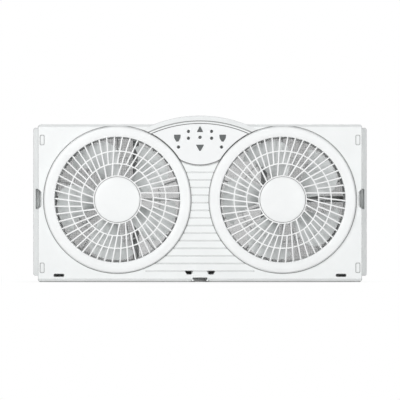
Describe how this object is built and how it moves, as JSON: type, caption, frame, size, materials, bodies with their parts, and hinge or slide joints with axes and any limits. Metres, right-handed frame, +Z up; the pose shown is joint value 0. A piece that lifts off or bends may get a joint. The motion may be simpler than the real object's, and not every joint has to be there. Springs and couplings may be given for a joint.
{
  "type": "window fan",
  "caption": "Twin window fan: side-by-side bladed fans behind spoked grilles, arched control panel, and sliding screened extenders that fill the window.",
  "frame": {"origin": "middle of the footprint, on the sill face", "axes": "+X to the right of someone facing the front, +Y to the back (outdoors), +Z up; the fans turn about axes along Y"},
  "size_m": [0.6, 0.1146, 0.2977],
  "materials": {
    "shell": "fine moulded satin, white",
    "grille": "semi-gloss moulded, white",
    "fascia": "satin film, off-white",
    "key": "soft-touch grey",
    "lens": "smoked clear",
    "blade": "semi-gloss moulded, pale grey",
    "screen": "woven glass-fibre mesh, grey",
    "steel": "zinc-plated",
    "lamination": "stacked steel sheet, oiled",
    "bronze": "sintered bronze",
    "board": "solder-masked laminate",
    "capacitor": "potted case, black",
    "lead": "PVC sheath, white",
    "gland": "moulded rubber, dark"
  },
  "bodies": {
    "housing": {"front_housing": "shell", "rear_housing": "shell", "control_fascia": "fascia", "light_pipe": "lens", "control_board": "board", "lead_gland": "gland", "fan_shroud_left": "shell", "fan_shroud_right": "shell", "front_grille_left": "grille", "front_grille_right": "grille", "grille_bezel_left": "grille", "grille_bezel_right": "grille", "grille_cap_left": "grille", "grille_cap_right": "grille", "rear_guard_left": "grille", "rear_guard_right": "grille", "stator_left": "lamination", "stator_right": "lamination", "motor_front_bell_left": "steel", "motor_front_bell_right": "steel", "motor_rear_bell_left": "steel", "motor_rear_bell_right": "steel", "front_bush_left": "bronze", "front_bush_right": "bronze", "rear_bush_left": "bronze", "rear_bush_right": "bronze", "capacitor_left": "capacitor", "capacitor_right": "capacitor", "motor_lead_left": "lead", "motor_lead_right": "lead", "motor_screw_left_1": "steel", "motor_screw_left_2": "steel", "motor_screw_left_3": "steel", "motor_screw_right_1": "steel", "motor_screw_right_2": "steel", "motor_screw_right_3": "steel", "housing_screw_1": "steel", "housing_screw_2": "steel", "housing_screw_3": "steel", "housing_screw_4": "steel", "housing_screw_5": "steel", "housing_screw_6": "steel", "rear_screen_left": "screen", "rear_screen_right": "screen"},
    "left_fan": {"impeller_left": "blade", "impeller_nut_left": "blade", "motor_shaft_left": "steel", "rotor_left": "lamination"},
    "right_fan": {"impeller_right": "blade", "impeller_nut_right": "blade", "motor_shaft_right": "steel", "rotor_right": "lamination"},
    "left_extender": {"extender_left": "shell", "insect_screen_left": "screen"},
    "right_extender": {"extender_right": "shell", "insect_screen_right": "screen"},
    "left_button": {"button_left": "key"},
    "right_button": {"button_right": "key"},
    "up_button": {"button_up": "key"},
    "down_button": {"button_down": "key"}
  },
  "joints": [
    {"name": "left_fan_spin", "type": "hinge", "parent": "housing", "child": "left_fan", "pos_m": [-0.148, 0, 0.1475], "axis": [0, 1, 0], "continuous": true},
    {"name": "right_fan_spin", "type": "hinge", "parent": "housing", "child": "right_fan", "pos_m": [0.148, 0, 0.1475], "axis": [0, 1, 0], "continuous": true},
    {"name": "left_extender_slide", "type": "slide", "parent": "housing", "child": "left_extender", "axis": [-1, 0, 0], "range_m": [0, 0.165]},
    {"name": "right_extender_slide", "type": "slide", "parent": "housing", "child": "right_extender", "axis": [1, 0, 0], "range_m": [0, 0.165]},
    {"name": "left_button_press", "type": "slide", "parent": "housing", "child": "left_button", "axis": [0, 1, 0], "range_m": [0, 0.001], "stiffness_N_per_m": 400, "springref_m": -0.0005},
    {"name": "right_button_press", "type": "slide", "parent": "housing", "child": "right_button", "axis": [0, 1, 0], "range_m": [0, 0.001], "stiffness_N_per_m": 400, "springref_m": -0.0005},
    {"name": "up_button_press", "type": "slide", "parent": "housing", "child": "up_button", "axis": [0, 1, 0], "range_m": [0, 0.001], "stiffness_N_per_m": 400, "springref_m": -0.0005},
    {"name": "down_button_press", "type": "slide", "parent": "housing", "child": "down_button", "axis": [0, 1, 0], "range_m": [0, 0.001], "stiffness_N_per_m": 400, "springref_m": -0.0005}
  ]
}
